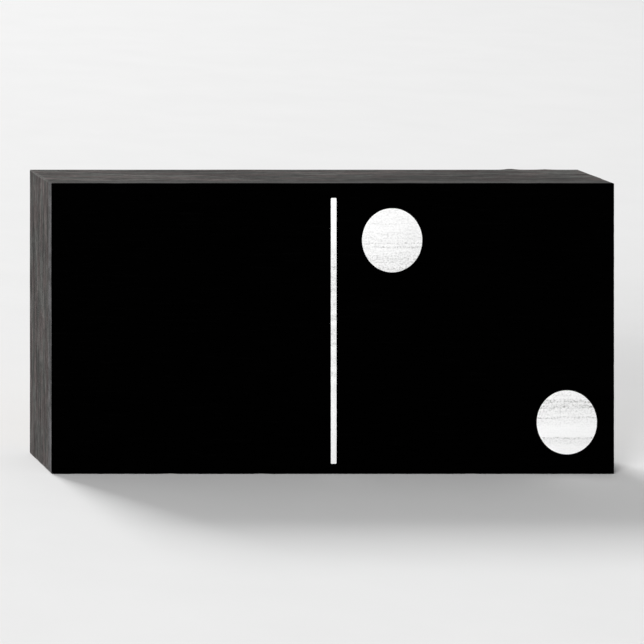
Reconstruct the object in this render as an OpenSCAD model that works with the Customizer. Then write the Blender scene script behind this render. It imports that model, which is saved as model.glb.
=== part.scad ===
// Box sign printed as a domino tile. Four mitred timber rails make a shallow box that is open at the back.
// A thin face panel closes the front and carries the print: a black ground, a white divider and two pips.
// Frame: +X runs along the width, -Y is the printed front, +Y the open back and +Z is up.
// The origin is the middle of the bounding box's bottom face. All sizes are in millimetres.

/* [Box] */
// Width of the box, from the left side to the right side
sign_w = 260; // [250:1:320]
// Height of the box, from the bottom side to the top side
sign_h = 134.4; // [130:0.1:170]
// Depth of the box, from the printed face to the rails' back edges
sign_d = 38; // [34:1:60]
// Thickness of each rail
rail_t = 12; // [10:0.5:16]
// Thickness of the face panel without its print
panel_t = 5.9; // [4:0.1:8]

/* [Print] */
// Thickness of the printed film
ink_t = 0.1; // [0.05:0.05:0.3]
// Width of the white divider
divider_w = 2.8; // [1:0.1:5]
// Distance of the divider's middle to the right of the face's middle
divider_x = 0.3; // [-1:0.1:1]
// Black margin under the divider
divider_low_margin = 4.7; // [3:0.1:20]
// Black margin over the divider
divider_top_margin = 6.7; // [3:0.1:20]
// Half the width of a pip
pip_half_w = 14; // [8:0.1:14]
// Half the height of a pip
pip_half_h = 14.9; // [8:0.1:15]
// Point midway between the two pips, to the right of the face's middle
pips_mid_x = 67.65; // [60:0.05:68]
// Height of the point midway between the two pips
pips_mid_z = 66; // [60:0.1:68]
// Sideways distance from that point to each pip
pip_step_x = 40.35; // [30:0.05:41]
// Upward or downward distance from that point to each pip
pip_step_z = 42.05; // [30:0.05:42.2]

/* [Panel pins] */
// Diameter of a pin's shank
pin_d = 1.2; // [0.8:0.1:1.6]
// Length of a pin under its head
pin_l = 20; // [12:1:24]
// Diameter of a pin's head
pin_head_d = 2.2; // [2:0.1:3]
// Thickness of a pin's head
pin_head_t = 0.6; // [0.4:0.1:1]
// Distance of the outer pins from the box's side faces
pin_end_gap = 20; // [16:1:30]
// Distance of the inner pins from the face's middle
pin_inner_x = 40; // [20:1:60]

/* [V-nails] */
// Length of each wing of a V-nail
v_wing = 5; // [3:0.5:8]
// Thickness of the sheet a V-nail is made of
v_sheet = 0.6; // [0.4:0.1:0.8]
// Depth that a V-nail is pressed in from the rails' back edges
v_depth = 8; // [5:1:10]

/* [Hanger] */
// Length of the sawtooth hanger
hanger_l = 44; // [36:1:60]
// Height of the hanger
hanger_h = 8; // [6:0.5:9]
// Thickness of the hanger's sheet
hanger_t = 0.6; // [0.4:0.1:1]
// Gap between the hanger's bar and the rail, for the head of a wall nail
hanger_gap = 1.4; // [1:0.1:2.5]
// Length of each of the hanger's two feet
foot_l = 7; // [6:0.5:8]
// Width of each tooth
tooth_w = 2; // [1.5:0.25:3]
// Depth of each notch between teeth
tooth_h = 1.5; // [1:0.1:2]
// Diameter of a hanger nail's shank
hanger_nail_d = 1.4; // [1:0.1:2]
// Length of a hanger nail under its head
hanger_nail_l = 10; // [8:1:14]
// Diameter of a hanger nail's head
hanger_nail_head_d = 3.2; // [2.6:0.1:4]
// Thickness of a hanger nail's head
hanger_nail_head_t = 0.7; // [0.5:0.1:0.9]

/* [Hidden] */
$fn = 48;

// Number of sides on a pip's outline
pip_sides = 96;
// Length that a cutter runs past the face it cuts
cut_past = 1;

// How far the hanger stands out behind the rails, and the box's places along Y
hanger_proud = hanger_gap + hanger_t;
total_d = sign_d + hanger_proud;
front_y = -total_d / 2;
panel_y = front_y + ink_t;
rail_y = panel_y + panel_t;
back_y = front_y + sign_d;
rail_d = back_y - rail_y;

half_w = sign_w / 2;

// Where the white print is
pip_upper_at = [pips_mid_x - pip_step_x, pips_mid_z + pip_step_z];
pip_lower_at = [pips_mid_x + pip_step_x, pips_mid_z - pip_step_z];

// Panel pins stand over the middle of the rails: four along the top and bottom, one on each side
pin_places = concat(
    [for (x = [-half_w + pin_end_gap, -pin_inner_x, pin_inner_x, half_w - pin_end_gap],
          z = [rail_t / 2, sign_h - rail_t / 2]) [x, z]],
    [for (x = [-half_w + rail_t / 2, half_w - rail_t / 2]) [x, sign_h / 2]]);

// Two V-nails share each mitre evenly
v_nail_insets = [rail_t / 3, 2 * rail_t / 3];

// The hanger sits midway up the top rail's back edge
hanger_z = sign_h - rail_t / 2 - hanger_h / 2;
hanger_half = hanger_l / 2;
// Length of the slope between a foot and the raised bar
joggle_l = 2;
bar_half = hanger_half - foot_l - joggle_l;
hanger_nail_x = hanger_half - foot_l / 2;
teeth = floor(2 * bar_half / tooth_w) - 1;

// Stands a flat X-Z outline up as a solid that starts at from_y and runs back by depth
module from_front(from_y, depth) {
    translate([0, from_y + depth, 0]) rotate([90, 0, 0]) linear_extrude(depth) children();
}

// A round shape along +Y, from from_y, at a place on the face
module round_bar(at, from_y, length, d) {
    translate([at[0], from_y, at[1]]) rotate([-90, 0, 0]) cylinder(h = length, d = d);
}

module pip_outline(at) {
    translate(at)
        polygon([for (i = [0 : pip_sides - 1])
            [pip_half_w * cos(360 * i / pip_sides), pip_half_h * sin(360 * i / pip_sides)]]);
}

module divider_outline() {
    translate([divider_x - divider_w / 2, divider_low_margin])
        square([divider_w, sign_h - divider_low_margin - divider_top_margin]);
}

module face_outline() {
    translate([-half_w, 0]) square([sign_w, sign_h]);
}

// A rail lying along the bottom with 45 degree ends, seen from the front
module mitred_outline(length) {
    polygon([[-length / 2, 0], [length / 2, 0], [length / 2 - rail_t, rail_t], [-length / 2 + rail_t, rail_t]]);
}

module level_rail() {
    from_front(rail_y, rail_d) mitred_outline(sign_w);
}

module upright_rail() {
    translate([half_w, 0, sign_h / 2]) rotate([0, -90, 0]) from_front(rail_y, rail_d) mitred_outline(sign_h);
}

// The pins with their heads level with the panel's face
module pin_shapes() {
    for (at = pin_places) {
        round_bar(at, panel_y, pin_head_t, pin_head_d);
        round_bar(at, panel_y + pin_head_t, pin_l, pin_d);
    }
}

// One V-nail with its point towards the corner at the origin, seen from the front
module v_outline() {
    polygon([[0, 0], [v_wing, 0], [v_wing, v_sheet], [v_sheet, v_sheet], [v_sheet, v_wing], [0, v_wing]]);
}

module v_nail_shapes() {
    for (right = [0, 1], top = [0, 1], inset = v_nail_insets)
        translate([0, 0, top * sign_h]) mirror([0, 0, top])
            mirror([right, 0, 0]) translate([-half_w, 0, 0])
                from_front(back_y - v_depth, v_depth) translate([inset, inset]) v_outline();
}

module hanger_nail_shapes() {
    for (x = [-hanger_nail_x, hanger_nail_x]) {
        at = [x, hanger_z + hanger_h / 2];
        round_bar(at, back_y + hanger_t - hanger_nail_l, hanger_nail_l, hanger_nail_d);
        round_bar(at, back_y + hanger_t, hanger_nail_head_t, hanger_nail_head_d);
    }
}

// Half of the bent strip seen from above: a foot on the rail, a slope and half of the raised bar
module half_strip_outline() {
    polygon([[0, hanger_gap], [bar_half, hanger_gap], [bar_half + joggle_l, 0], [hanger_half, 0],
             [hanger_half, hanger_t], [bar_half + joggle_l, hanger_t], [bar_half, hanger_proud],
             [0, hanger_proud]]);
}

module strip() {
    for (side = [0, 1])
        mirror([side, 0, 0]) linear_extrude(hanger_h) half_strip_outline();
}

// The notches that leave teeth along the bar's lower edge
module notches() {
    for (i = [0 : teeth - 1])
        translate([(i - (teeth - 1) / 2) * tooth_w, 0, 0])
            from_front(-cut_past, hanger_proud + 2 * cut_past)
                polygon([[-tooth_w / 2, 0], [-tooth_w / 2, -cut_past], [tooth_w / 2, -cut_past],
                         [tooth_w / 2, 0], [0, tooth_h]]);
}

module face_panel() {
    color("dimgray") difference() {
        from_front(panel_y, panel_t) face_outline();
        pin_shapes();
    }
}

module bottom_rail() {
    color("gray") difference() {
        level_rail();
        pin_shapes();
        v_nail_shapes();
    }
}

module top_rail() {
    color("gray") difference() {
        translate([0, 0, sign_h]) mirror([0, 0, 1]) level_rail();
        pin_shapes();
        v_nail_shapes();
        hanger_nail_shapes();
    }
}

module right_rail() {
    color("slategray") difference() {
        upright_rail();
        pin_shapes();
        v_nail_shapes();
    }
}

module left_rail() {
    color("slategray") difference() {
        mirror([1, 0, 0]) upright_rail();
        pin_shapes();
        v_nail_shapes();
    }
}

module black_print() {
    color("black") from_front(front_y, ink_t) difference() {
        face_outline();
        pip_outline(pip_upper_at);
        pip_outline(pip_lower_at);
        divider_outline();
    }
}

module divider_bar() {
    color("white") from_front(front_y, ink_t) divider_outline();
}

module pip_upper() {
    color("white") from_front(front_y, ink_t) pip_outline(pip_upper_at);
}

module pip_lower() {
    color("white") from_front(front_y, ink_t) pip_outline(pip_lower_at);
}

module panel_pins() {
    color("silver") pin_shapes();
}

module v_nails() {
    color("silver") v_nail_shapes();
}

module sawtooth_hanger() {
    color("gold") translate([0, back_y, hanger_z]) difference() {
        strip();
        notches();
        for (x = [-hanger_nail_x, hanger_nail_x])
            round_bar([x, hanger_h / 2], -cut_past, hanger_t + 2 * cut_past, hanger_nail_d);
    }
}

module hanger_nails() {
    color("silver") hanger_nail_shapes();
}

face_panel();
top_rail();
bottom_rail();
left_rail();
right_rail();
black_print();
divider_bar();
pip_upper();
pip_lower();
panel_pins();
v_nails();
sawtooth_hanger();
hanger_nails();
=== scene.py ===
import math

import bmesh
import bpy
import numpy as np
from mathutils import Matrix, Vector
from mathutils.geometry import tessellate_polygon


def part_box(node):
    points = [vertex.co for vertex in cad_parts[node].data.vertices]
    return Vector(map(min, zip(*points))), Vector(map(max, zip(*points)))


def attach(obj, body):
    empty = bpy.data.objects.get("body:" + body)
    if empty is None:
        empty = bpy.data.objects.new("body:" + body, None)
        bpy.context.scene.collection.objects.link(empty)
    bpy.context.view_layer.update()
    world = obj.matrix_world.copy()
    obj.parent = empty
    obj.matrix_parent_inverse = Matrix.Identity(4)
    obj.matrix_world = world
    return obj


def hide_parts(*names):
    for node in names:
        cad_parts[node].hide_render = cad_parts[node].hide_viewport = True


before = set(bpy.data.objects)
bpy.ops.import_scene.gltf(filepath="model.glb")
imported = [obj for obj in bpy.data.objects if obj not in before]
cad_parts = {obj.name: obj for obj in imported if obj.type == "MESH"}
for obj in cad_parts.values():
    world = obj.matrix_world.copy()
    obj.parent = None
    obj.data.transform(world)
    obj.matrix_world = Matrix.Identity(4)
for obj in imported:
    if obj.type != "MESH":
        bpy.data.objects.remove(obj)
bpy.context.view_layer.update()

MM = 0.001

# ---------------------------------------------------------------- places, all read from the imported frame

panel_low, panel_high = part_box("face_panel")
film_low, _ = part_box("black_print")
rail_low, rail_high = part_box("top_rail")
hanger_low, hanger_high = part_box("sawtooth_hanger")
nails_low, nails_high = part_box("hanger_nails")

HALF_W = panel_high.x
HEIGHT = panel_high.z
FRONT_Y = film_low.y
PANEL_Y = panel_low.y
RAIL_Y = rail_low.y
BACK_Y = rail_high.y
RAIL_T = rail_high.z - rail_low.z
FILM_T = PANEL_Y - FRONT_Y

# ---------------------------------------------------------------- camera

# The camera's sight line leaves the object's front to the left and upwards by these angles
SIGHT_AZIMUTH = math.radians(-19.9)
SIGHT_ELEVATION = math.radians(11.5)
SIGHT_LENGTH = 1.57
# The sight line meets the plane of the printed front here, measured from the middle of the front
AIM_ASIDE = -5.1 * MM
AIM_UP = 3.1 * MM
# Width of the picture in that plane
PICTURE_WIDTH = 297.5 * MM
# The camera sees this far, past the floor's far edge
VIEW_END = 100


def make_camera():
    """A view camera: its back stays parallel to the printed front, so the front shows with square corners.

    It hangs on a rig that turns only its sight line and leaves its two other axes on X and Z.
    """
    toward = Vector((
        math.sin(SIGHT_AZIMUTH) * math.cos(SIGHT_ELEVATION),
        -math.cos(SIGHT_AZIMUTH) * math.cos(SIGHT_ELEVATION),
        math.sin(SIGHT_ELEVATION),
    ))
    aim = Vector((AIM_ASIDE, FRONT_Y, HEIGHT / 2 + AIM_UP))
    stand = aim + toward * SIGHT_LENGTH
    right = Vector((1, 0, 0))
    up = Vector((0, 0, 1))
    lens = bpy.data.cameras.new("camera")
    lens.lens = lens.sensor_width * SIGHT_LENGTH / PICTURE_WIDTH
    lens.clip_end = VIEW_END
    camera = bpy.data.objects.new("camera", lens)
    rig = bpy.data.objects.new("camera_rig", None)
    for item in (camera, rig):
        bpy.context.scene.collection.objects.link(item)
    camera.parent = rig
    axes = Matrix((right, up, toward)).transposed().to_4x4()
    axes.translation = stand
    camera.matrix_parent_inverse = axes
    bpy.context.scene.camera = camera


# ---------------------------------------------------------------- mesh helpers

NOISE_CELLS = 64
# Facets round a quarter turn of a rounded corner
CORNER_STEPS = 4
SMOOTH_ANGLE = math.radians(38)


def smooth_noise(x, y, z, seed):
    """Smooth random values from -1 to 1, with one blob to a unit of each coordinate."""
    table = np.random.default_rng(seed).uniform(-1, 1, (NOISE_CELLS,) * 3)
    places = np.stack(np.broadcast_arrays(x, y, z)).astype(float)
    cell = np.floor(places).astype(int)
    part = places - cell
    part = part * part * (3 - 2 * part)
    total = np.zeros(places.shape[1:])
    for corner in np.ndindex(2, 2, 2):
        weight = np.ones(places.shape[1:])
        for axis in range(3):
            weight = weight * (part[axis] if corner[axis] else 1 - part[axis])
        index = tuple((cell[axis] + corner[axis]) % NOISE_CELLS for axis in range(3))
        total = total + weight * table[index]
    return total


def bump(distance, width):
    """A smooth hump, 1 at distance 0 and near 0 beyond width."""
    return np.exp(-(2 * distance / width) ** 2)


def rounded_loop(corners, steps):
    """Goes round an outline with square corners, anticlockwise.

    corners holds (x, y, radius). steps holds the longest straight piece that follows each corner.
    Returns the points, their outward directions and their bends: 1 midway round a corner and 0 on the flats.
    """
    places, outward, bends = [], [], []
    for i, (x, y, radius) in enumerate(corners):
        here = np.array((x, y))
        before = np.array(corners[i - 1][:2])
        after_x, after_y, after_radius = corners[(i + 1) % len(corners)]
        after = np.array((after_x, after_y))
        arriving = (here - before) / np.linalg.norm(here - before)
        leaving = (after - here) / np.linalg.norm(after - here)
        out_arriving = np.array((arriving[1], -arriving[0]))
        out_leaving = np.array((leaving[1], -leaving[0]))
        centre = here - radius * arriving + radius * leaving
        for k in range(CORNER_STEPS + 1):
            turn = math.pi / 2 * k / CORNER_STEPS
            direction = out_arriving * math.cos(turn) + out_leaving * math.sin(turn)
            places.append(centre + radius * direction)
            outward.append(direction)
            bends.append(math.sin(2 * turn))
        start = here + radius * leaving
        end = after - after_radius * leaving
        pieces = math.ceil(np.linalg.norm(end - start) / steps[i])
        for k in range(1, pieces):
            places.append(start + (end - start) * k / pieces)
            outward.append(out_leaving)
            bends.append(0.0)
    return np.array(places), np.array(outward), np.array(bends)


def tube_faces(loops, points, start=0):
    """Faces that join loops of the same number of points into a tube. Its first point is number start."""
    faces = []
    for i in range(loops - 1):
        for k in range(points):
            here = start + i * points + k
            after = start + i * points + (k + 1) % points
            faces.append((here, after, after + points, here + points))
    return faces


def loft_faces(loops, points, start=0):
    """The faces of the same tube, closed at both ends."""
    last = start + (loops - 1) * points
    ends = [tuple(range(start, start + points)), tuple(range(last, last + points))]
    return tube_faces(loops, points, start) + ends


def make_piece(name, points, faces, material, node, attributes=None):
    """A mesh piece in the object's own frame that stands for one CAD node."""
    mesh = bpy.data.meshes.new(name)
    mesh.from_pydata(np.reshape(points, (-1, 3)).tolist(), [], faces)
    shape = bmesh.new()
    shape.from_mesh(mesh)
    bmesh.ops.recalc_face_normals(shape, faces=shape.faces)
    shape.to_mesh(mesh)
    shape.free()
    mesh.shade_smooth()
    mesh.set_sharp_from_angle(angle=SMOOTH_ANGLE)
    for label, values in (attributes or {}).items():
        layer = mesh.attributes.new(label, "FLOAT", "POINT")
        layer.data.foreach_set("value", np.ravel(values).astype(np.float32))
    mesh.materials.append(material)
    piece = bpy.data.objects.new(name, mesh)
    bpy.context.scene.collection.objects.link(piece)
    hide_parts(node)
    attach(piece, "root")
    return piece


# ---------------------------------------------------------------- rails

# Gap between a rail's cut end and the mitre's plane
MITRE_GAP = 0.07 * MM
# Rounding of a rail's four long edges
FRONT_EDGE_R = 0.45 * MM
BACK_EDGE_R = 0.5 * MM
INNER_EDGE_R = 0.5 * MM
# Longest flat pieces across a rail's front, inner, back and outer faces
RAIL_STEPS = [4 * MM, 2 * MM, 1 * MM, 0.8 * MM]
# How deep the timber's surface lies inside the CAD shape, and how far the grain and its fibres vary that
TIMBER_SUNK = 0.03 * MM
GRAIN_RELIEF = 0.03 * MM
FIBRE_RELIEF = 0.015 * MM
# How much deeper the long edges are worn, how far that varies, and how deep their chips are
EDGE_WEAR = 0.1 * MM
EDGE_WEAR_VARIES = 0.09 * MM
CHIP_DEPTH = 0.5 * MM
# An edge is chipped where its noise is above this level
CHIP_LEVEL = 0.5
# Rounding of the box's own four corners, and how much it varies
BOX_CORNER_R = 0.6 * MM
BOX_CORNER_VARIES = 0.25 * MM
# The corners share one seed, so that both rails at a corner are rounded alike
BOX_CORNER_SEED = 40
# The stain is rubbed pale this far from the box's corners
CORNER_RUB = 0.45 * MM
# The stain on the back edges runs this far down the inner faces at most
STAIN_REACH = 8 * MM
# Stations close to a rail's ends, in millimetres from the end, and the pitch of the others
END_STATIONS = [0, 0.15, 0.35, 0.6, 0.9, 1.3, 1.8, 2.6, 4]
STATION_PITCH = 2 * MM
# Two splinters stand up on the top rail's back edge: place along X, width and height in millimetres
SPLINTERS = [(97.5, 6, 0.45), (114, 6, 0.2)]
# A splinter reaches this far forward
SPLINTER_REACH = 5 * MM


def rail_stations(length):
    """Fractions of the rail's half length, from -1 to 1, closer together at both ends."""
    near_end = 1 - np.array(END_STATIONS) * MM / (length / 2)
    middle = np.linspace(0, near_end[-1], round(length / 2 / STATION_PITCH))[:-1]
    half = np.concatenate([middle, near_end[::-1]])
    return np.concatenate([-half[:0:-1], half])


def soften_corners(x, y, z):
    """Pulls points in to the rounded corners of the box, and says how close to a corner each one is."""
    corner = np.sign(x) + 2 * np.sign(z - HEIGHT / 2)
    radius = BOX_CORNER_R + BOX_CORNER_VARIES * smooth_noise(y / (5 * MM), corner, 0, BOX_CORNER_SEED)
    aside = np.abs(x) - (HALF_W - radius)
    above = np.abs(z - HEIGHT / 2) - (HEIGHT / 2 - radius)
    reach = np.hypot(aside, above)
    outside = (aside > 0) & (above > 0) & (reach > radius)
    pull = np.where(outside, radius / np.maximum(reach, 1e-9), 1)
    x = np.where(outside, np.sign(x) * (HALF_W - radius + aside * pull), x)
    z = np.where(outside, HEIGHT / 2 + np.sign(z - HEIGHT / 2) * (HEIGHT / 2 - radius + above * pull), z)
    closeness = np.clip(1 + np.minimum(aside, above) / CORNER_RUB, 0, 1)
    return x, z, closeness


def timber_noise(places, length, across, seed):
    """Noise whose blobs measure length millimetres along the grain and across millimetres across it."""
    along, y, depth = places
    return smooth_noise(along / (length * MM), y / (across * MM), depth / (across * MM), seed)


def make_rail(side, length, material, seed):
    """One mitred rail: its grain is in low relief, its edges are worn and its ends are cut to 45 degrees."""
    places, outward, bends = rounded_loop(
        [(0, RAIL_Y, FRONT_EDGE_R), (RAIL_T, RAIL_Y, INNER_EDGE_R),
         (RAIL_T, BACK_Y, INNER_EDGE_R), (0, BACK_Y, BACK_EDGE_R)],
        RAIL_STEPS)
    depth, y = places.T
    share = rail_stations(length)[:, None]
    places = (share * (length / 2 - depth), y, depth)
    sunk = TIMBER_SUNK + GRAIN_RELIEF * timber_noise(places, 24, 1.1, seed)
    sunk = sunk + FIBRE_RELIEF * timber_noise(places, 7, 0.8, seed + 1)
    worn = EDGE_WEAR + EDGE_WEAR_VARIES * timber_noise(places, 13, 9, seed + 2)
    chipped = CHIP_DEPTH * np.maximum(0, timber_noise(places, 2.6, 6, seed + 3) - CHIP_LEVEL)
    sunk = sunk + bends * (worn + chipped)
    depth = depth - outward[:, 0] * sunk
    y = y - outward[:, 1] * sunk
    along = share * (length / 2 - depth - MITRE_GAP)
    if side in ("top", "bottom"):
        x = along
        z = HEIGHT - depth if side == "top" else depth
    else:
        x = HALF_W - depth if side == "right" else depth - HALF_W
        z = HEIGHT / 2 + along
    x, z, closeness = soften_corners(x, y, z)
    if side == "top":
        for place, width, height in SPLINTERS:
            lift = bump(x - place * MM, width * MM) * bump(y - BACK_Y, SPLINTER_REACH)
            z = z + height * MM * lift * (depth < RAIL_T / 2)
    wear = np.maximum(bends * np.ones_like(along), closeness * (depth < RAIL_T / 2))
    inside = np.where(outward[:, 0] > 0.5, np.clip((BACK_Y - y) / STAIN_REACH, 0, 1), 0)
    points = np.stack([x, y, z], axis=-1)
    faces = loft_faces(*along.shape)
    return make_piece(f"{side}_rail_timber", points, faces, material, f"{side}_rail",
                      {"wear": wear, "raw": inside})


# ---------------------------------------------------------------- face panel and print

# Rounding of the front edge all round the panel, and of its back edge, which makes the seam
PANEL_EDGE_R = 0.35 * MM
SEAM_EDGE_R = 0.4 * MM
PANEL_CORNER_R = 0.55 * MM
# The panel's edge is this much inside the film's
PANEL_INSET = 0.06 * MM
OUTLINE_PITCH = 2 * MM
LAYERS = 6
# How far the sanded outline lies inside the CAD shape, and how far its long and short waves vary that
OUTLINE_SUNK = 0.01 * MM
LONG_WAVE = 0.04 * MM
SHORT_WAVE = 0.03 * MM
# Relief of the layers on the panel's edges
LAYER_RELIEF = 0.03 * MM
# Small nicks in the front's lower edge: place along X, width and depth in millimetres
NICKS = [(-75, 5, 0.3), (-33, 7, 0.25), (64, 4, 0.15)]
# Room between the film's back and the panel
FILM_CLEARANCE = 0.015 * MM
WINDOW_POINTS = 96
DIVIDER_CORNER_R = 0.5 * MM
# The black ink spreads this far over the edges of the white patches
BLACK_SPREAD = 0.1 * MM
BLACK_SPREAD_VARIES = 0.04 * MM
# White ink stands this much over the black, with an edge that slopes over this width
WHITE_PROUD = 0.02 * MM
WHITE_SLOPE = 0.05 * MM


def front_outline():
    """The front's slightly uneven outline, sanded by hand, as X-Z points and their outward directions."""
    corners = [(-HALF_W, 0, PANEL_CORNER_R), (HALF_W, 0, PANEL_CORNER_R),
               (HALF_W, HEIGHT, PANEL_CORNER_R), (-HALF_W, HEIGHT, PANEL_CORNER_R)]
    places, outward, _ = rounded_loop(corners, [OUTLINE_PITCH] * 4)
    x, z = places.T
    sunk = OUTLINE_SUNK + LONG_WAVE * smooth_noise(x / (9 * MM), z / (9 * MM), 0, 50)
    sunk = sunk + SHORT_WAVE * smooth_noise(x / (2.5 * MM), z / (2.5 * MM), 0, 51)
    for place, width, depth in NICKS:
        sunk = sunk + depth * MM * bump(x - place * MM, width * MM) * (z < MM)
    return places - outward * sunk[:, None], outward


def edge_loop(outline, outward, inset, y):
    """The outline drawn in by inset and stood up at y."""
    flat = outline - outward * inset
    return np.column_stack([flat[:, 0], np.broadcast_to(y, len(flat)), flat[:, 1]])


def rounded_edge(radius, inset, y):
    """(inset, y) steps round a front edge, from the flat front through a quarter turn to the side."""
    turns = np.linspace(0, math.pi / 2, CORNER_STEPS + 1)
    return [(inset + radius * (1 - math.sin(turn)), y + radius * (1 - math.cos(turn))) for turn in turns]


def make_panel(material):
    """The face board: stained edges with the ends of its layers just showing, and a bare back."""
    outline, outward = front_outline()
    x, z = outline.T
    inset = FILM_T + PANEL_INSET
    steps = rounded_edge(PANEL_EDGE_R, inset, PANEL_Y)
    side_start = PANEL_Y + PANEL_EDGE_R
    side_end = RAIL_Y - SEAM_EDGE_R
    steps += [(PANEL_INSET, side_start + (side_end - side_start) * k / LAYERS) for k in range(1, LAYERS)]
    steps += [(step_in, PANEL_Y + RAIL_Y - step_y)
              for step_in, step_y in rounded_edge(SEAM_EDGE_R, PANEL_INSET, PANEL_Y)[::-1]]
    loops = []
    for step_in, step_y in steps:
        rough = LAYER_RELIEF * smooth_noise(x / (6 * MM), z / (6 * MM), step_y / (0.9 * MM), 52)
        loops.append(edge_loop(outline, outward, (step_in + rough)[:, None], step_y))
    # The stain ends behind the rails, so the last loop is drawn in to the middle of their width
    behind_rails = loops[-1].copy()
    behind_rails[:, 0] *= 1 - RAIL_T / (2 * HALF_W)
    behind_rails[:, 2] += (HEIGHT / 2 - behind_rails[:, 2]) * RAIL_T / HEIGHT
    loops.append(behind_rails)
    points = np.array(loops)
    bare = np.zeros(points.shape[:2])
    bare[-1] = 1
    upright = np.abs(outward[:, 0]) * np.ones(points.shape[:2])
    return make_piece("face_panel_board", points, loft_faces(*points.shape[:2]), material,
                      "face_panel", {"raw": bare, "upright": upright})


def ellipse_outline(node):
    """A pip's outline, from the size and place of its CAD node."""
    low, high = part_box(node)
    turns = np.arange(WINDOW_POINTS) * 2 * math.pi / WINDOW_POINTS
    middle = (low + high) / 2
    half = (high - low) / 2
    outward = np.column_stack([np.cos(turns), np.sin(turns)])
    places = np.column_stack([middle.x + half.x * outward[:, 0], middle.z + half.z * outward[:, 1]])
    return places, outward


def bar_outline(node):
    """The divider's outline, a long bar with slightly rounded corners."""
    low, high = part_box(node)
    corners = [(low.x, low.z), (high.x, low.z), (high.x, high.z), (low.x, high.z)]
    places, outward, _ = rounded_loop([(x, z, DIVIDER_CORNER_R) for x, z in corners],
                                      [MM, OUTLINE_PITCH, MM, OUTLINE_PITCH])
    return places, outward


def printed(places, outward, seed):
    """A white patch's outline as printed: the black ink spreads over its edge, more in some places."""
    ripple = smooth_noise(places[:, 0] / (4 * MM), places[:, 1] / (0.8 * MM), 0, seed)
    return places - outward * (BLACK_SPREAD + BLACK_SPREAD_VARIES * ripple)[:, None]


def make_white_print(name, places, outward, material):
    """A patch of white ink that fills its window in the black film."""
    steps = [(WHITE_SLOPE, FRONT_Y - WHITE_PROUD), (0, FRONT_Y - WHITE_PROUD / 2), (0, PANEL_Y)]
    points = np.array([edge_loop(places, outward, inset, y) for inset, y in steps])
    return make_piece(f"{name}_ink", points, loft_faces(*points.shape[:2]), material, name)


def make_black_print(windows, material):
    """The black film covers the front, turns over its edges and has a window for each white patch."""
    outline, outward = front_outline()
    film_back = PANEL_Y - FILM_CLEARANCE
    outer = rounded_edge(PANEL_EDGE_R + FILM_T, 0, FRONT_Y)
    inner = rounded_edge(PANEL_EDGE_R + FILM_CLEARANCE, FILM_T - FILM_CLEARANCE, film_back)
    loops = [edge_loop(outline, outward, inset, y) for inset, y in outer + inner[::-1]]
    size = len(outline)
    points = list(np.concatenate(loops))
    faces = tube_faces(len(loops), size)
    # The flat front and back are the same triangles, between the film's edge and its windows
    front = list(range(size))
    back = list(range((len(loops) - 1) * size, len(loops) * size))
    rims = [[Vector((x, z, 0)) for x, z in outline - outward * outer[0][0]]]
    for window in windows:
        rims.append([Vector((x, z, 0)) for x, z in window])
        start = len(points)
        count = len(window)
        points.extend((x, FRONT_Y, z) for x, z in window)
        points.extend((x, film_back, z) for x, z in window)
        front.extend(range(start, start + count))
        back.extend(range(start + count, start + 2 * count))
        faces.extend(tube_faces(2, count, start))
    for triangle in tessellate_polygon(rims):
        faces.append(tuple(front[k] for k in triangle))
        faces.append(tuple(back[k] for k in triangle))
    return make_piece("black_print_film", points, faces, material, "black_print")


# ---------------------------------------------------------------- hanger

HANGER_T = 0.6 * MM
# The strip's foot, slope and raised bar, measured from its middle
FOOT_STARTS = 15 * MM
BAR_ENDS = 13 * MM
BEND_LENGTH = 1.2 * MM
HANGER_END_R = 2.2 * MM
HANGER_EDGE_R = 0.12 * MM
HANGER_PITCH = 0.25 * MM
TOOTH_W = 2 * MM
TOOTH_H = 1.5 * MM
TEETH_HALF = 12 * MM
# A stiffening groove runs along the bar: its depth, and its level and width as shares of the bar's height
GROOVE_DEPTH = 0.14 * MM
GROOVE_LEVEL = 0.62
GROOVE_WIDTH = 0.3
NAIL_SIDES = 40
# The shank's radius as a share of the head's
NAIL_SHANK = 0.44
NAIL_DENT = 0.05 * MM


def smooth_step(value, low, high):
    share = np.clip((value - low) / (high - low), 0, 1)
    return share * share * (3 - 2 * share)


def make_hanger(material):
    """The toothed strip: two feet nailed to the rail and a raised bar between them, with teeth below."""
    half = hanger_high.x
    height = hanger_high.z - hanger_low.z
    x = np.linspace(-half, half, round(2 * half / HANGER_PITCH) + 1)
    rise = hanger_high.y - hanger_low.y - HANGER_T
    raised = 1 - smooth_step(np.abs(x), BAR_ENDS - BEND_LENGTH / 4, FOOT_STARTS + BEND_LENGTH / 4)
    mid_y = hanger_low.y + HANGER_T / 2 + rise * raised
    slope = np.gradient(mid_y, x)
    lean = 1 / np.hypot(1, slope)
    past_round = np.clip(np.abs(x) - (half - HANGER_END_R), 0, HANGER_END_R)
    trim = HANGER_END_R - np.sqrt(HANGER_END_R ** 2 - past_round ** 2)
    from_notch = np.abs((x / TOOTH_W) % 1 - 0.5) * 2
    notch = np.where(np.abs(x) < TEETH_HALF, TOOTH_H * (1 - from_notch), 0)
    bottom = hanger_low.z + trim + notch
    top = hanger_high.z - trim
    ring, _, _ = rounded_loop(
        [(-HANGER_T / 2, 0, HANGER_EDGE_R), (HANGER_T / 2, 0, HANGER_EDGE_R),
         (HANGER_T / 2, height, HANGER_EDGE_R), (-HANGER_T / 2, height, HANGER_EDGE_R)],
        [HANGER_T, MM, HANGER_T, MM])
    across = ring[:, 0]
    level = ring[:, 1] / height
    groove = GROOVE_DEPTH * bump(level - GROOVE_LEVEL, GROOVE_WIDTH) * raised[:, None]
    points = np.stack([
        x[:, None] - (slope * lean)[:, None] * across,
        mid_y[:, None] + lean[:, None] * across - groove,
        bottom[:, None] + level * (top - bottom)[:, None],
    ], axis=-1)
    return make_piece("sawtooth_hanger_strip", points, loft_faces(*points.shape[:2]), material,
                      "sawtooth_hanger")


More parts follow.
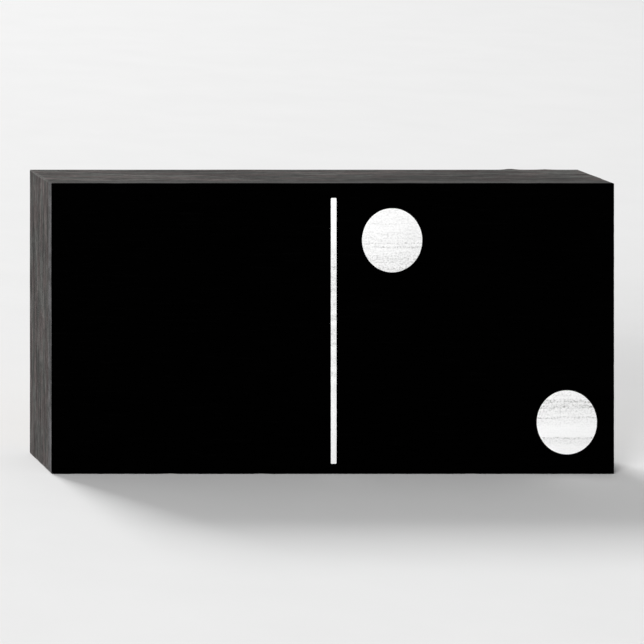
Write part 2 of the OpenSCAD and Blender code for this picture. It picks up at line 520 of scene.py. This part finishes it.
def make_hanger_nails(material):
    """Two nails with domed heads on the hanger's feet, each head a little dented by the hammer."""
    head_r = (nails_high.z - nails_low.z) / 2
    head_y = nails_high.y
    foot_y = hanger_low.y + HANGER_T
    middle_z = (nails_high.z + nails_low.z) / 2
    profile = [(0.02 * head_r, head_y), (0.3 * head_r, head_y - 0.01 * MM),
               (0.6 * head_r, head_y - 0.05 * MM), (0.82 * head_r, head_y - 0.13 * MM),
               (0.96 * head_r, head_y - 0.27 * MM), (head_r, head_y - 0.45 * MM),
               (0.93 * head_r, foot_y), (NAIL_SHANK * head_r, foot_y),
               (NAIL_SHANK * head_r, nails_low.y + MM), (0.05 * head_r, nails_low.y)]
    turns = np.arange(NAIL_SIDES) * 2 * math.pi / NAIL_SIDES
    points, faces = [], []
    for side in (-1, 1):
        middle_x = side * (nails_high.x - head_r)
        rings = []
        for radius, y in profile:
            x = middle_x + radius * np.cos(turns)
            z = middle_z + radius * np.sin(turns)
            dent = NAIL_DENT * (1 - smooth_noise(x / MM, z / MM, 0, 60)) * (y > foot_y)
            rings.append(np.column_stack([x, y - dent, z]))
        faces.extend(loft_faces(len(profile), NAIL_SIDES, len(points)))
        points.extend(np.concatenate(rings))
    return make_piece("hanger_nail_heads", points, faces, material, "hanger_nails")


# ---------------------------------------------------------------- materials

# Numbers of a Mix node's sockets for colours
MIX_AMOUNT = 0
MIX_FIRST = 6
MIX_SECOND = 7
MIX_RESULT = 2


class Recipe:
    """One material's nodes. Most methods add a step and return the socket that holds its result."""

    def __init__(self, name, **constants):
        self.material = bpy.data.materials.new(name)
        self.material.use_nodes = True
        self.tree = self.material.node_tree
        self.shader = self.tree.nodes["Principled BSDF"]
        for label, value in constants.items():
            self.shader.inputs[label.replace("_", " ")].default_value = value
        self.place = self.step("ShaderNodeTexCoord", "Object")

    def step(self, kind, output, inputs=(), **settings):
        """Adds a node. inputs pairs an input's name or number with a value or with another step's result."""
        node = self.tree.nodes.new(kind)
        for label, value in settings.items():
            setattr(node, label, value)
        for label, value in inputs:
            if isinstance(value, bpy.types.NodeSocket):
                self.tree.links.new(value, node.inputs[label])
            else:
                node.inputs[label].default_value = value
        return node.outputs[output]

    def noise(self, cell, shift=0.0, detail=3.0, roughness=0.55):
        """Noise from 0 to 1 whose blobs measure about cell millimetres along X, Y and Z."""
        place = self.step("ShaderNodeMapping", "Vector", [
            ("Vector", self.place), ("Location", (shift, shift, shift)),
            ("Scale", [1 / (size * MM) for size in cell])])
        return self.step("ShaderNodeTexNoise", 0, [
            ("Vector", place), ("Scale", 1.0), ("Detail", detail), ("Roughness", roughness)])

    def between(self, value, low, high, start=0.0, end=1.0):
        """start where value is at low, end where it is at high, and a smooth change between them."""
        return self.step("ShaderNodeMapRange", "Result", [
            ("Value", value), ("From Min", low), ("From Max", high), ("To Min", start), ("To Max", end)],
            interpolation_type="SMOOTHSTEP")

    def maths(self, operation, *values):
        return self.step("ShaderNodeMath", 0, list(enumerate(values)), operation=operation)

    def mix(self, amount, first, second, blend="MIX"):
        """Goes from the first colour to the second as amount goes from 0 to 1."""
        first, second = [c if isinstance(c, bpy.types.NodeSocket) else (*c, 1.0) for c in (first, second)]
        return self.step("ShaderNodeMix", MIX_RESULT,
                         [(MIX_AMOUNT, amount), (MIX_FIRST, first), (MIX_SECOND, second)],
                         data_type="RGBA", blend_type=blend)

    def shade(self, colour, value):
        """The colour made lighter or darker by a value around 1."""
        grey = self.step("ShaderNodeCombineColor", 0, [(0, value), (1, value), (2, value)])
        return self.mix(1.0, colour, grey, "MULTIPLY")

    def vary(self, colour, grain, darkest, lightest, low=0.3, high=0.7):
        """The colour times darkest where the grain's noise is at low, up to lightest where it is at high."""
        return self.shade(colour, self.between(grain, low, high, darkest, lightest))

    def attribute(self, label):
        return self.step("ShaderNodeAttribute", "Fac", attribute_name=label)

    def paint(self, colour, roughness=None, height=None, relief=None):
        """Joins the results to the shader. relief is the height's full range in millimetres."""
        self.tree.links.new(colour, self.shader.inputs["Base Color"])
        if roughness is not None:
            self.tree.links.new(roughness, self.shader.inputs["Roughness"])
        if height is not None:
            normal = self.step("ShaderNodeBump", "Normal", [("Height", height), ("Distance", relief * MM)])
            self.tree.links.new(normal, self.shader.inputs["Normal"])
        return self.material


def grain_cell(length, across, direction):
    """The size of a blob of grain that runs along one of the axes."""
    return [length if axis == direction else across for axis in "xyz"]


def bare_timber(wood, direction):
    """The colour of unstained pine: straw with darker growth lines and a few resin streaks."""
    growth = wood.noise(grain_cell(120, 2.2, direction), 31.0, 2.0)
    lines = wood.noise(grain_cell(30, 0.4, direction), 37.0, 3.0)
    colour = wood.mix(wood.between(growth, 0.42, 0.6), (0.63, 0.47, 0.29), (0.5, 0.34, 0.19))
    return wood.vary(colour, lines, 0.82, 1.12, 0.25, 0.75)


def stained_timber(direction, washed):
    """Charcoal stain over open grain along one axis, rubbed pale at the edges and ending inside the box.

    washed is how far the stain's strength drifts along the timber.
    """
    wood = Recipe(f"stained_timber_{direction}", Specular_IOR_Level=0.2)
    cast = wood.noise(grain_cell(18, 4.5, direction), 3.0, 2.0)
    wash = wood.noise(grain_cell(110, 40, direction), 5.6, 1.0)
    bands = wood.noise(grain_cell(30, 3, direction), 7.0, 3.0)
    streaks = wood.noise(grain_cell(15, 1.1, direction), 11.0, 4.0, 0.65)
    flecks = wood.noise(grain_cell(2.6, 0.9, direction), 13.0, 2.0)
    pores = wood.noise(grain_cell(5, 0.3, direction), 17.0, 2.0)
    fibres = wood.noise(grain_cell(11, 0.5, direction), 19.0, 2.0)
    stain = wood.mix(wood.between(cast, 0.42, 0.58), (0.055, 0.0545, 0.0515), (0.06, 0.0505, 0.0485))
    for grain, swing in [(wash, washed), (bands, 0.44), (streaks, 0.44), (flecks, 0.26)]:
        stain = wood.vary(stain, grain, 1 - swing, 1 + swing)
    stain = wood.vary(stain, pores, 1.0, 0.5, 0.6, 0.7)
    stain = wood.mix(wood.between(fibres, 0.6, 0.74, 0.0, 0.6), stain, (0.135, 0.13, 0.126))
    rubbed = wood.maths("MULTIPLY", wood.between(wood.attribute("wear"), 0.3, 0.95),
                        wood.between(streaks, 0.3, 0.62, 0.2, 0.9))
    stain = wood.mix(rubbed, stain, (0.125, 0.121, 0.116))
    bleed = wood.noise(grain_cell(9, 2.5, direction), 23.0, 4.0, 0.6)
    bare = wood.between(wood.maths("SUBTRACT", wood.attribute("raw"), bleed), -0.12, 0.1)
    colour = wood.mix(bare, stain, bare_timber(wood, direction))
    height = wood.maths("ADD", wood.maths("MULTIPLY", streaks, 0.7), wood.maths("MULTIPLY", flecks, 0.3))
    return wood.paint(colour, wood.between(streaks, 0.3, 0.7, 0.9, 0.72), height, 0.35)


def panel_board():
    """Plywood: stained edges, palest on the upright ones, that show its layers, and a bare birch back."""
    wood = Recipe("panel_board", Specular_IOR_Level=0.2)
    layers = wood.noise((40, 1.6, 40), 41.0, 1.0)
    ends = wood.noise((2.2, 0.7, 2.2), 43.0, 3.0)
    mottle = wood.noise((7, 7, 7), 47.0, 4.0, 0.65)
    pale = wood.mix(wood.between(mottle, 0.38, 0.62), (0.052, 0.051, 0.051), (0.106, 0.102, 0.106))
    stain = wood.mix(wood.attribute("upright"), (0.05, 0.049, 0.047), pale)
    stain = wood.vary(stain, layers, 0.75, 1.15, 0.35, 0.65)
    stain = wood.vary(stain, ends, 0.85, 1.15)
    growth = wood.maths("MULTIPLY", wood.noise((150, 5, 34), 53.0, 2.0, 0.35), 22.0)
    rings = wood.maths("PINGPONG", growth, 1.0)
    cloud = wood.noise((60, 5, 14), 55.0, 2.0)
    lines = wood.noise((22, 5, 0.5), 59.0, 3.0)
    pores = wood.noise((4, 5, 0.3), 60.0, 2.0)
    birch = wood.mix(wood.between(rings, 0.0, 0.7, 0.7, 0.0), (0.6, 0.46, 0.3), (0.5, 0.35, 0.21))
    birch = wood.vary(birch, cloud, 0.92, 1.08)
    birch = wood.vary(birch, lines, 0.88, 1.08)
    birch = wood.vary(birch, pores, 1.0, 0.8, 0.62, 0.7)
    colour = wood.mix(wood.attribute("raw"), stain, birch)
    height = wood.maths("ADD", wood.maths("MULTIPLY", lines, 0.6), wood.maths("MULTIPLY", ends, 0.4))
    return wood.paint(colour, wood.between(lines, 0.3, 0.7, 0.85, 0.7), height, 0.12)


# Streaks where the grain shows through each patch of white ink: height over the base and reach above and
# below it in millimetres, and strength. The broad first entries of pip_upper and divider_bar, at 118 mm, are
# painted shade, not grain: they darken the upper part of each patch, where the light falls brighter.
STREAKS_AND_PAINTED_SHADE = {
    "pip_upper": [(118, 30, 0.36), (94.6, 2.2, 1.0), (99, 9, 0.7), (104.8, 0.9, 1.0), (106.6, 0.8, 0.85),
                  (109, 9, 0.5), (115.9, 0.8, 0.55)],
    "pip_lower": [(36.5, 5, 0.45), (33.6, 2.2, 1.0), (31.2, 2.2, 1.0), (29.5, 5, 0.55), (26.1, 0.8, 0.95),
                  (24.6, 3.2, 0.4), (16.6, 0.8, 0.9), (15.2, 2.6, 0.45)],
    "divider_bar": [(118, 16, 0.2), (100, 9, 0.6), (95.3, 2.2, 1.0), (89, 9, 0.7), (84.8, 1.8, 1.0),
                    (79, 8, 0.65), (72.5, 2.5, 1.0), (65, 7, 0.7), (60, 1.5, 1.0), (53, 7, 0.5),
                    (46, 1.8, 0.85), (38, 8, 0.35)],
}
# How strongly the grain shows between the streaks
FAINT = 0.12


def white_ink(name):
    """White ink with fine speckle in faint rows, which the streaks of the grain make darker; the table's
    broad entries also paint shade over the upper part of some patches.
    """
    ink = Recipe(f"white_ink_{name}", Specular_IOR_Level=0.15)
    height = ink.step("ShaderNodeSeparateXYZ", "Z", [("Vector", ink.place)])
    wander = ink.between(ink.noise((14, 14, 9), 61.0, 2.0), 0.2, 0.8, -0.4 * MM, 0.4 * MM)
    level = ink.maths("ADD", height, wander)
    strength = FAINT
    # Each entry darkens the speckle near its height: a grain streak, and in the broad entries painted shade
    for middle, reach, most in STREAKS_AND_PAINTED_SHADE[name]:
        distance = ink.maths("ABSOLUTE", ink.maths("SUBTRACT", level, middle * MM))
        strength = ink.maths("MAXIMUM", strength, ink.between(distance, 0, reach * MM, most, FAINT))
    dots = ink.noise((0.95, 0.95, 0.75), 67.0, 2.0, 0.6)
    rows = ink.noise((6, 6, 0.55), 71.0, 2.0)
    spots = ink.maths("ADD", ink.between(dots, 0.42, 0.68, 0.16, 0.76),
                      ink.between(rows, 0.42, 0.66, 0.0, 0.24))
    colour = ink.mix(ink.maths("MULTIPLY", spots, strength), (0.93, 0.93, 0.93), (0.3, 0.3, 0.295))
    return ink.paint(colour, ink.between(dots, 0.3, 0.7, 0.6, 0.75), dots, 0.03)


def black_ink():
    """Black ink with the grain's horizontal lines in the lowest relief."""
    ink = Recipe("black_ink", Specular_IOR_Level=0.004)
    lines = ink.noise((40, 5, 1.6), 73.0, 4.0, 0.6)
    fine = ink.noise((12, 5, 0.5), 79.0, 3.0)
    faint = ink.maths("MULTIPLY", ink.between(lines, 0.45, 0.75), ink.between(fine, 0.4, 0.7))
    colour = ink.mix(faint, (0.00005, 0.00005, 0.00005), (0.0006, 0.0006, 0.0006))
    height = ink.maths("ADD", ink.maths("MULTIPLY", lines, 0.7), ink.maths("MULTIPLY", fine, 0.3))
    return ink.paint(colour, ink.between(fine, 0.3, 0.7, 0.85, 0.65), height, 0.08)


def plated_steel(name, bright, dull, scratch):
    """Sheet or wire metal with fine rolling marks and patches where the plating has dulled."""
    metal = Recipe(name, Metallic=1.0)
    marks = metal.noise(scratch, 83.0, 3.0)
    patches = metal.noise((9, 9, 5), 89.0, 3.0)
    colour = metal.mix(metal.between(patches, 0.4, 0.68), bright, dull)
    colour = metal.vary(colour, marks, 0.92, 1.08)
    rough = metal.maths("ADD", metal.between(patches, 0.4, 0.7, 0.26, 0.36),
                        metal.maths("MULTIPLY", marks, 0.14))
    return metal.paint(colour, rough, marks, 0.015)


# ---------------------------------------------------------------- stage

FLOOR_HALF = 12.0
FLOOR_DARK = (0.73, 0.73, 0.73)
FLOOR_PALE = (0.77, 0.77, 0.77)
SKY = 0.42
LIGHT_DISTANCE = 6.0
LIGHT_WIDTH = 2.1
# Each light's azimuth and elevation in degrees, and its power in watts
KEY_LIGHT = (-162, 50, 230)
FILL_LIGHT = (-38, 18, 278)


def make_floor():
    """A plain pale floor with the faintest unevenness."""
    corners = [(x, y, 0) for x, y in ((-1, -1), (1, -1), (1, 1), (-1, 1))]
    mesh = bpy.data.meshes.new("floor")
    mesh.from_pydata([[c * FLOOR_HALF for c in corner] for corner in corners], [], [(0, 1, 2, 3)])
    paper = Recipe("floor_paper", Roughness=0.9, Specular_IOR_Level=0.1)
    cloud = paper.noise((60, 60, 60), 97.0, 3.0)
    mesh.materials.append(paper.paint(paper.mix(cloud, FLOOR_DARK, FLOOR_PALE)))
    floor = bpy.data.objects.new("floor", mesh)
    bpy.context.scene.collection.objects.link(floor)


def make_softbox(name, azimuth, elevation, watts):
    """A square soft light that faces the object. Azimuth 0 is in front of it and -90 degrees on its left."""
    turn = math.radians(azimuth)
    lift = math.radians(elevation)
    direction = Vector((math.sin(turn) * math.cos(lift), -math.cos(turn) * math.cos(lift), math.sin(lift)))
    lamp = bpy.data.lights.new(name, "AREA")
    lamp.shape = "SQUARE"
    lamp.size = LIGHT_WIDTH
    lamp.energy = watts
    light = bpy.data.objects.new(name, lamp)
    bpy.context.scene.collection.objects.link(light)
    light.location = Vector((0, 0, HEIGHT / 2)) + direction * LIGHT_DISTANCE
    light.rotation_mode = "QUATERNION"
    light.rotation_quaternion = direction.to_track_quat("Z", "Y")


def make_light():
    """Even pale light from all round, a key light behind on the left and a low fill light in front of it.

    The key light throws the shadow in front of the object, and the fill light the shadow beside it.
    """
    world = bpy.data.worlds.new("studio")
    world.use_nodes = True
    background = world.node_tree.nodes["Background"]
    background.inputs["Color"].default_value = (1, 1, 1, 1)
    background.inputs["Strength"].default_value = SKY
    bpy.context.scene.world = world
    make_softbox("key_light", *KEY_LIGHT)
    make_softbox("fill_light", *FILL_LIGHT)


# ---------------------------------------------------------------- the object

bpy.context.scene.view_settings.view_transform = "Standard"
make_camera()
make_floor()
make_light()

timber_x = stained_timber("x", 0.32)
timber_z = stained_timber("z", 0.08)
make_rail("top", 2 * HALF_W, timber_x, 100)
make_rail("bottom", 2 * HALF_W, timber_x, 110)
make_rail("left", HEIGHT, timber_z, 120)
make_rail("right", HEIGHT, timber_z, 130)
make_panel(panel_board())

windows = []
for seed, (name, find_outline) in enumerate(
        [("pip_upper", ellipse_outline), ("pip_lower", ellipse_outline), ("divider_bar", bar_outline)]):
    places, outward = find_outline(name)
    places = printed(places, outward, 140 + seed)
    windows.append(places)
    make_white_print(name, places, outward, white_ink(name))
make_black_print(windows, black_ink())

steel = plated_steel("bright_steel", (0.3, 0.3, 0.31), (0.2, 0.195, 0.19), (4, 4, 0.2))
brass = plated_steel("brass_plated_steel", (0.78, 0.6, 0.3), (0.62, 0.47, 0.24), (6, 0.3, 0.12))
make_hanger(brass)
make_hanger_nails(brass)
for name in ("panel_pins", "v_nails"):
    metal_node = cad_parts[name]
    metal_node.data.materials.clear()
    metal_node.data.materials.append(steel)
